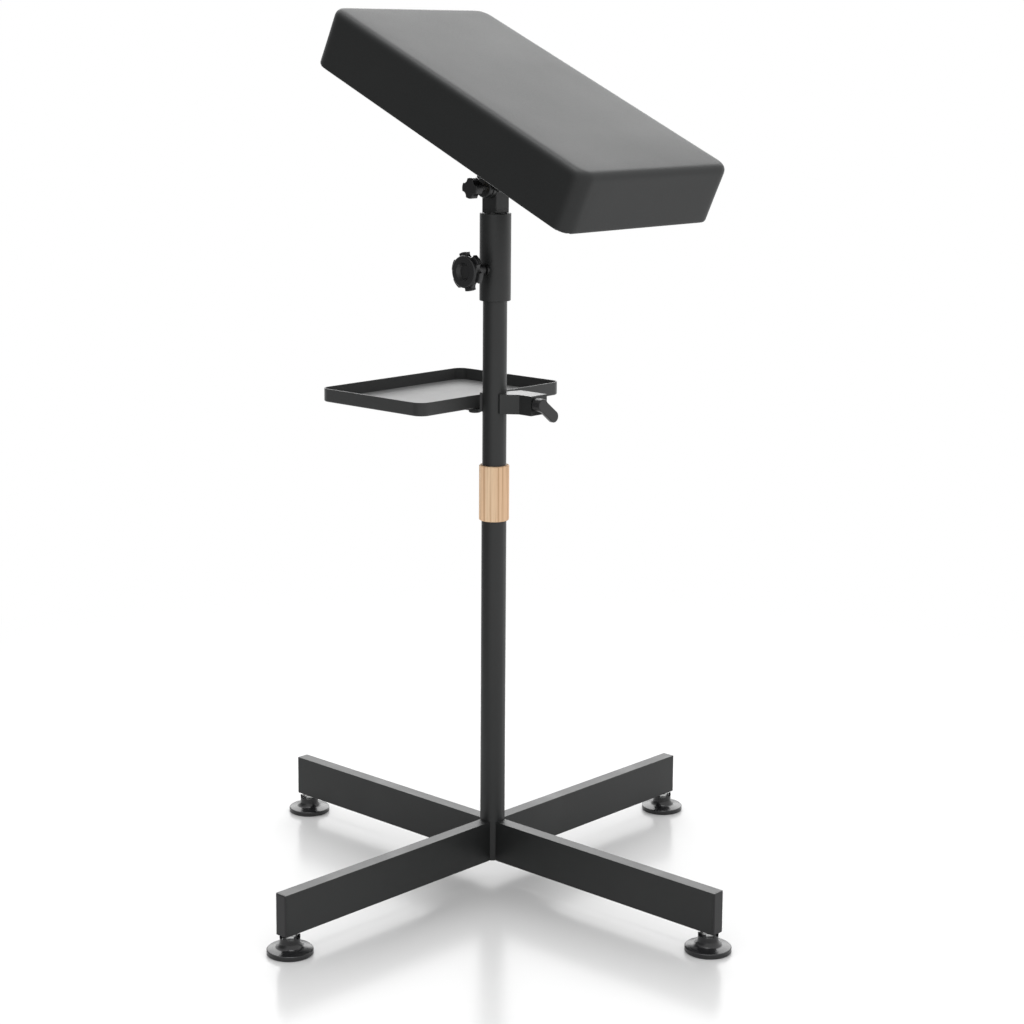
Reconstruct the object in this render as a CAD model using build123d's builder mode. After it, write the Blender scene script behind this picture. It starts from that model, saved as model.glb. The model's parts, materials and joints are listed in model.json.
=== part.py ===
from build123d import *
from math import cos, radians, sin
import os

# Driving sizes of the whole stand, in millimetres
# The origin is the middle of the base on the floor, with +Z up.
# The base arms lie along X and Y, and the armrest's long side along X.

# Base arms, rectangular steel tube
arm_reach = 306.0
arm_width = 14.0
arm_height = 43.3
arm_wall = 1.5
arm_lift = 20.7
weld_gap = 0.15
arm_names = {"front_right": 0, "rear_right": 90, "rear_left": 180, "front_left": 270}

# End caps of the arms
cap_face = 2.0
cap_depth = 4.5
cap_edge = 0.8
cap_play = 0.2

# Levelling feet
foot_inset = 12.3
foot_radius = 23.4
foot_rim = 5.4
foot_slope_rise = 1.2
neck_low_radius = 15.5
neck_radius = 10.3
neck_start = 12.4
neck_hollow_share = 0.3
grip_top = 19.4
grip_turn = 19.0
grip_notches = 6
grip_notch_width = 7.6
grip_notch_floor = 16.5
foot_edge = 0.8
stud_radius = 4.0
stud_length = 40.0
stud_tip_chamfer = 0.8
stud_head_flats = 13.0
stud_head_height = 5.0
stud_head_lift = 1.2
head_pocket_play = 0.15
thread_play = 0.05
lock_nut_height = 4.0
lock_nut_play = 0.15
nut_pocket_play = 0.3
insert_radius = 5.2
insert_flange_radius = 6.6
insert_flange = 1.0
insert_depth = 14.0

# Post in two lengths, with a plain wooden sleeve over the joint
lower_post_radius = 13.2
lower_post_wall = 2.0
upper_post_radius = 12.7
upper_post_wall = 1.5
post_split = 424.0
upper_post_length = 276.0
spigot_half = 30.0
spigot_wall = 2.0
spigot_play = 0.05
sleeve_radius = 15.9
sleeve_below = 30.0
sleeve_above = 29.0
sleeve_edge = 1.2
sleeve_play = 0.05
plug_depth = 12.0
plug_play = 0.1
plug_edge = 1.0

# Collar at the top of the post, with the guide bush it holds
collar_radius = 16.4
collar_below = 73.0
collar_above = 18.0
collar_edge = 0.8
collar_play = 0.05
collar_throat_play = 0.5
bush_flange = 3.0
bush_length = 27.0
bush_play = 0.05

# Height clamp: star knob on a stud through the collar
height_knob_rise = 33.0
height_lobes = 6
height_lobe_turn = 43.0
height_knob_radius = 20.3
height_root_radius = 15.6
height_disc_radius = 16.9
height_dish_radius = 9.6
height_dish_floor_radius = 6.8
height_dish_depth = 3.4
height_knob_front = 48.6
height_disc_depth = 3.8
height_disc_edge = 2.6
height_head_back = 39.4
height_knob_edge = 1.2
height_hub_radius = 8.4
height_hub_end_radius = 6.4
height_hub_end = 21.0
height_stud_radius = 4.0
height_stud_gap = 0.3
height_stud_grip = 20.0
collar_nut_radius = 6.6
collar_nut_stand = 1.6

# Riser: round tube that slides and turns in the post
riser_radius = 9.5
riser_wall = 2.0
riser_floor_gap = 6.0
ring_height = 20.0
ring_lift = 3.0
ring_play = 0.05
bead_radius = 10.6
bead_height = 2.4
riser_cap_flange = 2.5
riser_cap_flange_radius = 10.4
riser_cap_depth = 14.0
riser_cap_play = 0.1

# Square stub on the riser, and the pivot through it
stub_side = 20.0
stub_wall = 2.0
stub_edge = 0.9
stub_plate = 4.0
stub_rest_gap = 0.3
stub_head = 12.2
pivot_rise = 26.8
pivot_sleeve_wall = 2.0
pivot_bolt_radius = 3.0
pivot_play = 0.05
stub_cap_face = 1.6
stub_cap_depth = 4.0

# Armrest: tilt, bracket, plate, board and cushion
tilt_angle = 24.86
pad_length = 377.4
pad_width = 226.8
pad_thickness = 62.8
pad_rise = 51.5
pad_shift = -1.7
pad_corner = 17.0
pad_top_edge = 9.0
pad_bottom_edge = 3.0
pad_crown = 2.4
side_draw = 1.0
cover_lip = 1.2
cover_lip_width = 24.0
cover_thickness = 4.0
board_thickness = 12.0
board_play = 0.3
dust_cover_inset = 0.5
plate_length = 150.0
plate_width = 90.0
plate_thickness = 3.0
plate_corner = 8.0
plate_hole_inset = 12.0
screw_radius = 2.2
screw_head_radius = 4.6
screw_head_height = 2.4
screw_length = 9.0
screw_play = 0.3
bracket_thickness = 3.4
bracket_half_length = 24.0
bracket_side_gap = 0.35
bracket_shoulder = 16.8
bracket_shoulder_rise = 2.6
ear_radius = 11.5
bolt_head_flats = 10.0
bolt_head_height = 4.0
boss_radius = 10.6
boss_height = 5.4
boss_edge = 1.6

# Tilt clamp: small star knob on the pivot bolt
tilt_knob_start = 25.0
tilt_head_back = 31.0
tilt_knob_front = 39.8
tilt_lobes = 4
tilt_lobe_turn = 19.0
tilt_knob_radius = 10.7
tilt_root_radius = 8.4
tilt_neck_radius = 6.0
tilt_knob_edge = 1.4
tilt_insert_radius = 4.6
tilt_insert_length = 11.0
bolt_end = 35.0
bolt_tip_gap = 0.6

# Instrument tray
tray_left = -171.9
tray_right = -18.4
tray_front = -90.7
tray_back = 127.5
tray_height = 14.3
tray_wall = 1.3
tray_corner = 12.2
tray_floor_edge = 1.6

# Tray clamp: liner, open ring with its lug, tongue, rivets
clamp_rise = 56.3
clamp_height = 20.7
liner_play = 0.05
liner_thickness = 1.1
liner_trim = 0.3
ring_wall = 1.6
mouth_start = -135.0
mouth_end = -27.0
lug_left = 10.0
lug_right = 46.6
lug_front = 5.5
lug_back = 30.0
lug_facet = 30.0
tongue_reach = 80.0
tongue_half_width = 12.0
tongue_thickness = 2.5
tongue_gap = 0.1
rivet_first = 26.5
rivet_pitch = 36.0
rivet_y = -2.0
rivet_radius = 2.5
rivet_head_radius = 6.5
rivet_head_height = 3.2
rivet_head_edge = 1.4

# Lever screw of the tray clamp
lever_y = 11.8
lever_rise = 11.7
lever_screw_radius = 4.0
lever_screw_cone = 1.2
lever_screw_grip = 5.0
shoe_radius = 5.0
shoe_start = 8.6
shoe_end = 24.0
shoe_gap = 0.3
shoe_screw_gap = 0.1
lever_gap = 1.6
lever_hub_radius = 7.0
lever_hub_length = 10.3
lever_blade_thickness = 4.4
lever_blade_width = 12.4
lever_blade_reach = 28.2
lever_blade_drop = 38.0
lever_edge = 1.0

# One overrun for all cuts that pass through a wall
overrun = 1.0

os.makedirs("parts", exist_ok=True)

# Places and radii that follow from the sizes above
foot_circle = arm_reach - foot_inset
lower_bore = lower_post_radius - lower_post_wall
upper_bore = upper_post_radius - upper_post_wall
sleeve_bottom = post_split - sleeve_below
sleeve_top = post_split + sleeve_above
clamp_bottom = sleeve_top + clamp_rise
tray_bottom = clamp_bottom + tongue_thickness + tongue_gap
lever_z = clamp_bottom + lever_rise
upper_post_top = post_split + upper_post_length
collar_bottom = upper_post_top - collar_below
collar_top = upper_post_top + collar_above
height_knob_z = collar_bottom + height_knob_rise
riser_bottom = post_split + spigot_half + riser_floor_gap
stub_bottom = collar_top + stub_rest_gap
pivot_z = collar_top + pivot_rise
stub_tube_bottom = stub_bottom + stub_plate
stub_top = pivot_z + stub_head
thread_bore = stud_radius + thread_play

# Base post: the lower tube, from the underside of the arms to the joint
with BuildPart() as base_post:
    with BuildSketch(Plane.XY.offset(arm_lift)):
        Circle(lower_post_radius)
        Circle(lower_bore, mode=Mode.SUBTRACT)
    extrude(amount=post_split - arm_lift)
base_post.part.label = "base_post"
export_step(base_post.part, "parts/base_post.step")

# Plastic plug pushed up into the foot of the post
with BuildPart() as post_plug:
    with BuildSketch(Plane.XY.offset(arm_lift)):
        Circle(lower_bore - plug_play)
    extrude(amount=plug_depth)
    chamfer(post_plug.edges().group_by(Axis.Z)[-1], plug_edge)
post_plug.part.label = "post_plug"
export_step(post_plug.part, "parts/post_plug.step")

# Four base arms, each a rectangular tube shaped to the post at its inner end
foot_hole_radius = insert_radius + thread_play
tube_end = arm_reach - cap_face
for place, turn in arm_names.items():
    arm_frame = Plane.XY.rotated((0, 0, turn))
    with BuildPart() as base_arm:
        with BuildSketch(Plane(arm_frame.from_local_coords((0, 0, arm_lift + arm_height / 2)),
                               x_dir=arm_frame.y_dir, z_dir=arm_frame.x_dir)):
            Rectangle(arm_width, arm_height)
            Rectangle(arm_width - 2 * arm_wall, arm_height - 2 * arm_wall, mode=Mode.SUBTRACT)
        extrude(amount=tube_end)
        with BuildSketch(Plane.XY.offset(arm_lift - overrun)):
            Circle(lower_post_radius + weld_gap)
        extrude(amount=arm_height + 2 * overrun, mode=Mode.SUBTRACT)
        with BuildSketch(Plane(arm_frame.from_local_coords((foot_circle, 0, arm_lift)))):
            Circle(foot_hole_radius)
        extrude(amount=arm_wall + overrun, mode=Mode.SUBTRACT)
    base_arm.part.label = "base_arm_" + place
    export_step(base_arm.part, "parts/base_arm_" + place + ".step")

# Flush plastic caps in the arm ends
cap_shapes = []
for place, turn in arm_names.items():
    arm_frame = Plane.XY.rotated((0, 0, turn))
    cap_plane = Plane(arm_frame.from_local_coords((tube_end, 0, arm_lift + arm_height / 2)),
                      x_dir=arm_frame.y_dir, z_dir=arm_frame.x_dir)
    with BuildPart() as end_cap:
        with BuildSketch(cap_plane):
            Rectangle(arm_width, arm_height)
        extrude(amount=cap_face)
        chamfer(end_cap.faces().sort_by(Axis(cap_plane.origin, cap_plane.z_dir))[-1].edges(), cap_edge)
        with BuildSketch(cap_plane):
            Rectangle(arm_width - 2 * arm_wall - 2 * cap_play, arm_height - 2 * arm_wall - 2 * cap_play)
        extrude(amount=-cap_depth)
    cap_shapes.append(end_cap.part)
arm_end_caps = Compound(children=cap_shapes)
arm_end_caps.label = "arm_end_caps"
export_step(arm_end_caps, "parts/arm_end_caps.step")

# Threaded inserts in the undersides of the arms
insert_shapes = []
for turn in arm_names.values():
    foot_spot = Plane.XY.rotated((0, 0, turn)).from_local_coords((foot_circle, 0, arm_lift))
    with BuildPart() as foot_insert:
        with BuildSketch(Plane(foot_spot)):
            Circle(insert_flange_radius)
        extrude(amount=-insert_flange)
        with BuildSketch(Plane(foot_spot)):
            Circle(insert_radius)
        extrude(amount=insert_depth)
        with BuildSketch(Plane(foot_spot).offset(-insert_flange)):
            Circle(thread_bore)
        extrude(amount=insert_depth + insert_flange, mode=Mode.SUBTRACT)
    insert_shapes.append(foot_insert.part)
foot_inserts = Compound(children=insert_shapes)
foot_inserts.label = "foot_inserts"
export_step(foot_inserts, "parts/foot_inserts.step")

# Levelling feet: moulded pad, stud with its head in the pad, and lock nut in a notched collar
stud_head_radius = stud_head_flats / 2 / cos(radians(30))
head_pocket_radius = stud_head_radius + head_pocket_play
head_top = stud_head_lift + stud_head_height
lock_nut_bottom = arm_lift - insert_flange - lock_nut_play - lock_nut_height
nut_pocket_floor = lock_nut_bottom - lock_nut_play
nut_pocket_radius = stud_head_radius + nut_pocket_play
neck_low = foot_rim + foot_slope_rise
for place, turn in arm_names.items():
    foot_plane = Plane(Plane.XY.rotated((0, 0, turn)).from_local_coords((foot_circle, 0, 0)))
    side_plane = Plane(foot_plane.origin, x_dir=(1, 0, 0), z_dir=(0, -1, 0))
    foot_axis = Axis(foot_plane.origin, (0, 0, 1))
    with BuildPart() as foot_pad:
        with BuildSketch(side_plane):
            with BuildLine():
                Polyline((0, 0), (foot_radius - foot_edge, 0), (foot_radius, foot_edge),
                         (foot_radius, foot_rim - foot_edge), (foot_radius - foot_edge, foot_rim),
                         (neck_low_radius, neck_low))
                neck = ThreePointArc((neck_low_radius, neck_low),
                                     (neck_radius + (neck_low_radius - neck_radius) * neck_hollow_share,
                                      neck_low + (neck_start - neck_low) * neck_hollow_share),
                                     (neck_radius, neck_start))
                Polyline(neck @ 1, (neck_radius, grip_top), (0, grip_top), (0, 0))
            make_face()
        revolve(axis=foot_axis)
        with BuildSketch(foot_plane.offset(nut_pocket_floor)):
            Circle(nut_pocket_radius)
        extrude(amount=grip_top - nut_pocket_floor, mode=Mode.SUBTRACT)
        with BuildSketch(foot_plane.offset(grip_notch_floor)):
            with PolarLocations(neck_radius, grip_notches, start_angle=grip_turn):
                Rectangle(2 * (neck_radius - nut_pocket_radius + overrun), grip_notch_width)
        extrude(amount=grip_top - grip_notch_floor, mode=Mode.SUBTRACT)
        with BuildSketch(foot_plane):
            Circle(head_pocket_radius)
        extrude(amount=head_top + head_pocket_play, mode=Mode.SUBTRACT)
        with BuildSketch(foot_plane):
            Circle(thread_bore)
        extrude(amount=grip_top, mode=Mode.SUBTRACT)
    foot_pad.part.label = "foot_pad_" + place
    export_step(foot_pad.part, "parts/foot_pad_" + place + ".step")

    with BuildPart() as foot_stud:
        with BuildSketch(foot_plane.offset(stud_head_lift)):
            RegularPolygon(stud_head_radius, 6)
        extrude(amount=stud_head_height)
        with BuildSketch(foot_plane.offset(head_top)):
            Circle(stud_radius)
        extrude(amount=stud_length)
        chamfer(foot_stud.edges().group_by(Axis.Z)[-1], stud_tip_chamfer)
    foot_stud.part.label = "foot_stud_" + place
    export_step(foot_stud.part, "parts/foot_stud_" + place + ".step")

    with BuildPart() as lock_nut:
        with BuildSketch(foot_plane.offset(lock_nut_bottom)):
            RegularPolygon(stud_head_radius, 6, rotation=grip_turn + 30)
            Circle(thread_bore, mode=Mode.SUBTRACT)
        extrude(amount=lock_nut_height)
    lock_nut.part.label = "foot_lock_nut_" + place
    export_step(lock_nut.part, "parts/foot_lock_nut_" + place + ".step")

# Inner spigot that lines the two posts up
with BuildPart() as spigot:
    with BuildSketch(Plane.XY.offset(post_split - spigot_half)):
        Circle(min(lower_bore, upper_bore) - spigot_play)
        Circle(min(lower_bore, upper_bore) - spigot_play - spigot_wall, mode=Mode.SUBTRACT)
    extrude(amount=2 * spigot_half)
spigot.part.label = "joint_spigot"
export_step(spigot.part, "parts/joint_spigot.step")

# Upper post, with the hole that lets the height stud reach the riser
with BuildPart() as upper_post:
    with BuildSketch(Plane.XY.offset(post_split)):
        Circle(upper_post_radius)
        Circle(upper_bore, mode=Mode.SUBTRACT)
    extrude(amount=upper_post_length)
    with BuildSketch(Plane(origin=(0, 0, height_knob_z), x_dir=(1, 0, 0), z_dir=(0, -1, 0))):
        Circle(height_stud_radius + thread_play)
    extrude(amount=upper_post_radius + overrun, mode=Mode.SUBTRACT)
upper_post.part.label = "upper_post"
export_step(upper_post.part, "parts/upper_post.step")

# Turned wooden sleeve over the joint, bored in two steps
with BuildPart() as wood_sleeve:
    with BuildSketch(Plane.XY.offset(sleeve_bottom)):
        Circle(sleeve_radius)
    extrude(amount=sleeve_below + sleeve_above)
    fillet(wood_sleeve.edges(), sleeve_edge)
    with BuildSketch(Plane.XY.offset(sleeve_bottom)):
        Circle(lower_post_radius + sleeve_play)
    extrude(amount=sleeve_below, mode=Mode.SUBTRACT)
    with BuildSketch(Plane.XY.offset(post_split)):
        Circle(upper_post_radius + sleeve_play)
    extrude(amount=sleeve_above, mode=Mode.SUBTRACT)
wood_sleeve.part.label = "wood_sleeve"
export_step(wood_sleeve.part, "parts/wood_sleeve.step")

# Guide bush: plastic, its flange sits on the post and its bore guides the riser
bush_top = upper_post_top + bush_flange
with BuildPart() as guide_bush:
    with BuildSketch(Plane.XY.offset(upper_post_top - bush_length)):
        Circle(upper_bore - bush_play)
    extrude(amount=bush_length)
    with BuildSketch(Plane.XY.offset(upper_post_top)):
        Circle(upper_post_radius)
    extrude(amount=bush_flange)
    with BuildSketch(Plane.XY.offset(upper_post_top - bush_length)):
        Circle(riser_radius + bush_play)
    extrude(amount=bush_length + bush_flange, mode=Mode.SUBTRACT)
guide_bush.part.label = "guide_bush"
export_step(guide_bush.part, "parts/guide_bush.step")

# Collar welded over the post's top, with a throat above the bush
with BuildPart() as height_collar:
    with BuildSketch(Plane.XY.offset(collar_bottom)):
        Circle(collar_radius)
    extrude(amount=collar_below + collar_above)
    fillet(height_collar.edges(), collar_edge)
    with BuildSketch(Plane.XY.offset(collar_bottom)):
        Circle(upper_post_radius + collar_play)
    extrude(amount=bush_top - collar_bottom, mode=Mode.SUBTRACT)
    with BuildSketch(Plane.XY.offset(bush_top)):
        Circle(riser_radius + collar_throat_play)
    extrude(amount=collar_top - bush_top, mode=Mode.SUBTRACT)
    with BuildSketch(Plane(origin=(0, 0, height_knob_z), x_dir=(1, 0, 0), z_dir=(0, -1, 0))):
        Circle(collar_nut_radius + thread_play)
    extrude(amount=collar_radius + overrun, mode=Mode.SUBTRACT)
height_collar.part.label = "height_collar"
export_step(height_collar.part, "parts/height_collar.step")

# Threaded nut set in the collar wall
collar_nut_start = upper_post_radius + collar_play
collar_nut_end = collar_radius + collar_nut_stand
with BuildPart() as collar_nut:
    with BuildSketch(Plane(origin=(0, -collar_nut_start, height_knob_z), x_dir=(1, 0, 0), z_dir=(0, -1, 0))):
        Circle(collar_nut_radius)
        Circle(height_stud_radius + thread_play, mode=Mode.SUBTRACT)
    extrude(amount=collar_nut_end - collar_nut_start)
collar_nut.part.label = "collar_nut"
export_step(collar_nut.part, "parts/collar_nut.step")

# Where the points of one lobe lie, as shares of the turn from lobe to lobe
lobe_turn_shares = (-0.27, 0.0, 0.27, 0.5)


def star_outline(lobes, tip_radius, root_radius, first_turn):
    """Rounded star: lobes of one radius joined by hollows, all from two radii."""
    pitch = 360 / lobes
    points = []
    for lobe in range(lobes):
        middle = first_turn + lobe * pitch
        for turn_share, radius in zip(lobe_turn_shares, (tip_radius, tip_radius, tip_radius, root_radius)):
            angle = radians(middle + turn_share * pitch)
            points.append((radius * cos(angle), radius * sin(angle)))
    with BuildSketch() as star:
        with BuildLine():
            for lobe in range(lobes):
                start = 4 * lobe
                ThreePointArc(points[start], points[start + 1], points[start + 2])
                ThreePointArc(points[start + 2], points[start + 3], points[(start + 4) % len(points)])
        make_face()
    return star.sketch


# Height knob: lobed head with a smooth dished front disc and a tapered hub
height_star = star_outline(height_lobes, height_knob_radius, height_root_radius, height_lobe_turn)
height_axis_plane = Plane(origin=(0, 0, height_knob_z), x_dir=(1, 0, 0), z_dir=(0, -1, 0))
disc_start = height_knob_front - height_disc_depth
with BuildPart() as height_knob:
    with BuildSketch(height_axis_plane.offset(height_head_back)):
        add(height_star)
    extrude(amount=disc_start - height_head_back)
    fillet(height_knob.faces().sort_by(Axis.Y)[0].edges(), height_knob_edge)
    with BuildSketch(height_axis_plane.offset(disc_start)):
        Circle(height_disc_radius)
    extrude(amount=height_disc_depth)
    fillet(height_knob.faces().sort_by(Axis.Y)[0].edges(), height_disc_edge)
    with BuildSketch(height_axis_plane.offset(height_knob_front)):
        Circle(height_dish_radius)
    with BuildSketch(height_axis_plane.offset(height_knob_front - height_dish_depth)):
        Circle(height_dish_floor_radius)
    loft(mode=Mode.SUBTRACT)
    with BuildSketch(height_axis_plane.offset(height_hub_end)):
        Circle(height_hub_end_radius)
    with BuildSketch(height_axis_plane.offset(height_head_back)):
        Circle(height_hub_radius)
    loft()
    with BuildSketch(height_axis_plane.offset(height_hub_end)):
        Circle(height_stud_radius + thread_play)
    extrude(amount=height_stud_grip, mode=Mode.SUBTRACT)
height_knob.part.label = "height_knob"
export_step(height_knob.part, "parts/height_knob.step")

# Stud moulded into the height knob, its tip just off the riser
height_tip = riser_radius + height_stud_gap
with BuildPart() as height_stud:
    with BuildSketch(height_axis_plane.offset(height_tip)):
        Circle(height_stud_radius)
    extrude(amount=height_hub_end + height_stud_grip - height_tip)
    chamfer(height_stud.edges().group_by(Axis.Y)[-1], stud_tip_chamfer)
height_stud.part.label = "height_knob_stud"
export_step(height_stud.part, "parts/height_knob_stud.step")

# Glide ring at the riser's lower end, free to slide in the post
ring_bottom = riser_bottom + ring_lift
with BuildPart() as glide_ring:
    with BuildSketch(Plane.XY.offset(ring_bottom)):
        Circle(upper_bore - ring_play)
        Circle(riser_radius + ring_play, mode=Mode.SUBTRACT)
    extrude(amount=ring_height)
glide_ring.part.label = "riser_glide_ring"
export_step(glide_ring.part, "parts/riser_glide_ring.step")

# Riser tube, with the rolled bead that keeps the ring down
bead_bottom = ring_bottom + ring_height + ring_play
with BuildPart() as riser_tube:
    with BuildSketch(Plane.XY.offset(riser_bottom)):
        Circle(riser_radius)
    extrude(amount=stub_tube_bottom - riser_bottom)
    with BuildSketch(Plane.XY.offset(bead_bottom)):
        Circle(bead_radius)
    extrude(amount=bead_height)
    with BuildSketch(Plane.XY.offset(riser_bottom)):
        Circle(riser_radius - riser_wall)
    extrude(amount=stub_tube_bottom - riser_bottom, mode=Mode.SUBTRACT)
riser_tube.part.label = "riser_tube"
export_step(riser_tube.part, "parts/riser_tube.step")

# Plug in the riser's lower end: its flange carries the ring
with BuildPart() as riser_plug:
    with BuildSketch(Plane.XY.offset(riser_bottom - riser_cap_flange)):
        Circle(riser_cap_flange_radius)
    extrude(amount=riser_cap_flange)
    with BuildSketch(Plane.XY.offset(riser_bottom)):
        Circle(riser_radius - riser_wall - riser_cap_play)
    extrude(amount=riser_cap_depth)
riser_plug.part.label = "riser_plug"
export_step(riser_plug.part, "parts/riser_plug.step")

# Square plate welded round the riser's top, closing the stub
with BuildPart() as stub_foot:
    with BuildSketch(Plane.XY.offset(stub_bottom)):
        RectangleRounded(stub_side, stub_side, stub_edge)
        Circle(riser_radius + weld_gap, mode=Mode.SUBTRACT)
    extrude(amount=stub_plate)
stub_foot.part.label = "stub_foot_plate"
export_step(stub_foot.part, "parts/stub_foot_plate.step")

# Square stub, a short tube with round holes for the pivot sleeve
pivot_plane = Plane(origin=(0, 0, pivot_z), x_dir=(1, 0, 0), z_dir=(0, -1, 0))
pivot_sleeve_radius = pivot_bolt_radius + pivot_play + pivot_sleeve_wall
with BuildPart() as square_stub:
    with BuildSketch(Plane.XY.offset(stub_tube_bottom)):
        RectangleRounded(stub_side, stub_side, stub_edge)
        Rectangle(stub_side - 2 * stub_wall, stub_side - 2 * stub_wall, mode=Mode.SUBTRACT)
    extrude(amount=stub_top - stub_cap_face - stub_tube_bottom)
    with BuildSketch(pivot_plane):
        Circle(pivot_sleeve_radius + pivot_play)
    extrude(amount=stub_side, both=True, mode=Mode.SUBTRACT)
square_stub.part.label = "square_stub"
export_step(square_stub.part, "parts/square_stub.step")

# Plastic cap in the stub's top
with BuildPart() as stub_cap:
    with BuildSketch(Plane.XY.offset(stub_top - stub_cap_face)):
        RectangleRounded(stub_side, stub_side, stub_edge)
    extrude(amount=stub_cap_face)
    with BuildSketch(Plane.XY.offset(stub_top - stub_cap_face)):
        Rectangle(stub_side - 2 * stub_wall - 2 * cap_play, stub_side - 2 * stub_wall - 2 * cap_play)
    extrude(amount=-stub_cap_depth)
    with BuildSketch(pivot_plane):
        Circle(pivot_sleeve_radius + cap_play)
    extrude(amount=stub_side, both=True, mode=Mode.SUBTRACT)
stub_cap.part.label = "stub_cap"
export_step(stub_cap.part, "parts/stub_cap.step")

# Spacer sleeve across the stub, so that clamping can't crush the tube
with BuildPart() as pivot_sleeve:
    with BuildSketch(pivot_plane):
        Circle(pivot_sleeve_radius)
        Circle(pivot_bolt_radius + pivot_play, mode=Mode.SUBTRACT)
    extrude(amount=stub_side / 2, both=True)
pivot_sleeve.part.label = "pivot_sleeve"
export_step(pivot_sleeve.part, "parts/pivot_sleeve.step")

# The armrest's own planes: along its length, across it, and its underside
along = Vector(cos(radians(tilt_angle)), 0, -sin(radians(tilt_angle)))
upward = Vector(sin(radians(tilt_angle)), 0, cos(radians(tilt_angle)))
pivot_point = Vector(0, 0, pivot_z)
rest_plane = Plane(origin=pivot_point, x_dir=along, z_dir=upward)
length_plane = Plane(origin=pivot_point, x_dir=along, z_dir=(0, -1, 0))
pad_centre = pivot_point + along * pad_shift
pad_plane = Plane(origin=pad_centre, x_dir=along, z_dir=upward)

# U-shaped tilt bracket: a web under the plate and two legs that taper down to round ears
web_top = pad_rise - plate_thickness
leg_inside = stub_side / 2 + bracket_side_gap
leg_outside = leg_inside + bracket_thickness
with BuildPart() as tilt_bracket:
    with BuildSketch(rest_plane.offset(web_top - bracket_thickness)):
        Rectangle(2 * bracket_half_length, 2 * leg_outside)
    extrude(amount=bracket_thickness)
    for side in (1, -1):
        with BuildSketch(length_plane.offset(side * leg_inside)):
            with BuildLine():
                Polyline((-bracket_half_length, web_top), (-bracket_shoulder, bracket_shoulder_rise),
                         (bracket_shoulder, bracket_shoulder_rise), (bracket_half_length, web_top), close=True)
            make_face()
            Circle(ear_radius)
        extrude(amount=side * bracket_thickness)
    with BuildSketch(length_plane):
        Circle(pivot_bolt_radius + pivot_play)
    extrude(amount=leg_outside + overrun, both=True, mode=Mode.SUBTRACT)
tilt_bracket.part.label = "tilt_bracket"
export_step(tilt_bracket.part, "parts/tilt_bracket.step")

# Pivot bolt with a hex head against the far ear
bolt_head_radius = bolt_head_flats / 2 / cos(radians(30))
with BuildPart() as pivot_bolt:
    with BuildSketch(length_plane.offset(-leg_outside)):
        RegularPolygon(bolt_head_radius, 6)
    extrude(amount=-bolt_head_height)
    with BuildSketch(length_plane.offset(-leg_outside)):
        Circle(pivot_bolt_radius)
    extrude(amount=leg_outside + bolt_end)
pivot_bolt.part.label = "pivot_bolt"
export_step(pivot_bolt.part, "parts/pivot_bolt.step")

# Round boss on the near ear that the knob pulls against
with BuildPart() as pivot_boss:
    with BuildSketch(length_plane.offset(leg_outside)):
        Circle(boss_radius)
    extrude(amount=boss_height)
    fillet(pivot_boss.faces().sort_by(Axis.Y)[0].edges(), boss_edge)
    with BuildSketch(length_plane.offset(leg_outside)):
        Circle(pivot_bolt_radius + pivot_play)
    extrude(amount=boss_height, mode=Mode.SUBTRACT)
pivot_boss.part.label = "pivot_boss"
export_step(pivot_boss.part, "parts/pivot_boss.step")

# Tilt knob: small lobed head on a round neck, moulded round a threaded insert
tilt_star = star_outline(tilt_lobes, tilt_knob_radius, tilt_root_radius, tilt_lobe_turn)
with BuildPart() as tilt_knob:
    with BuildSketch(length_plane.offset(tilt_head_back)):
        add(tilt_star)
    extrude(amount=tilt_knob_front - tilt_head_back)
    fillet(tilt_knob.faces().sort_by(Axis.Y)[0].edges(), tilt_knob_edge)
    with BuildSketch(length_plane.offset(tilt_knob_start)):
        Circle(tilt_neck_radius)
    extrude(amount=tilt_head_back - tilt_knob_start)
    with BuildSketch(length_plane.offset(tilt_knob_start)):
        Circle(tilt_insert_radius + thread_play)
    extrude(amount=tilt_insert_length, mode=Mode.SUBTRACT)
    with BuildSketch(length_plane.offset(tilt_knob_start)):
        Circle(pivot_bolt_radius + pivot_play)
    extrude(amount=bolt_end + bolt_tip_gap - tilt_knob_start, mode=Mode.SUBTRACT)
tilt_knob.part.label = "tilt_knob"
export_step(tilt_knob.part, "parts/tilt_knob.step")

with BuildPart() as tilt_insert:
    with BuildSketch(length_plane.offset(tilt_knob_start)):
        Circle(tilt_insert_radius)
        Circle(pivot_bolt_radius + pivot_play, mode=Mode.SUBTRACT)
    extrude(amount=tilt_insert_length)
tilt_insert.part.label = "tilt_knob_insert"
export_step(tilt_insert.part, "parts/tilt_knob_insert.step")

# Steel plate under the board, with its four screw holes
hole_x = plate_length / 2 - plate_hole_inset
hole_y = plate_width / 2 - plate_hole_inset
with BuildPart() as mounting_plate:
    with BuildSketch(rest_plane.offset(web_top)):
        RectangleRounded(plate_length, plate_width, plate_corner)
        with GridLocations(2 * hole_x, 2 * hole_y, 2, 2):
            Circle(screw_radius + screw_play, mode=Mode.SUBTRACT)
    extrude(amount=plate_thickness)
mounting_plate.part.label = "mounting_plate"
export_step(mounting_plate.part, "parts/mounting_plate.step")

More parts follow.
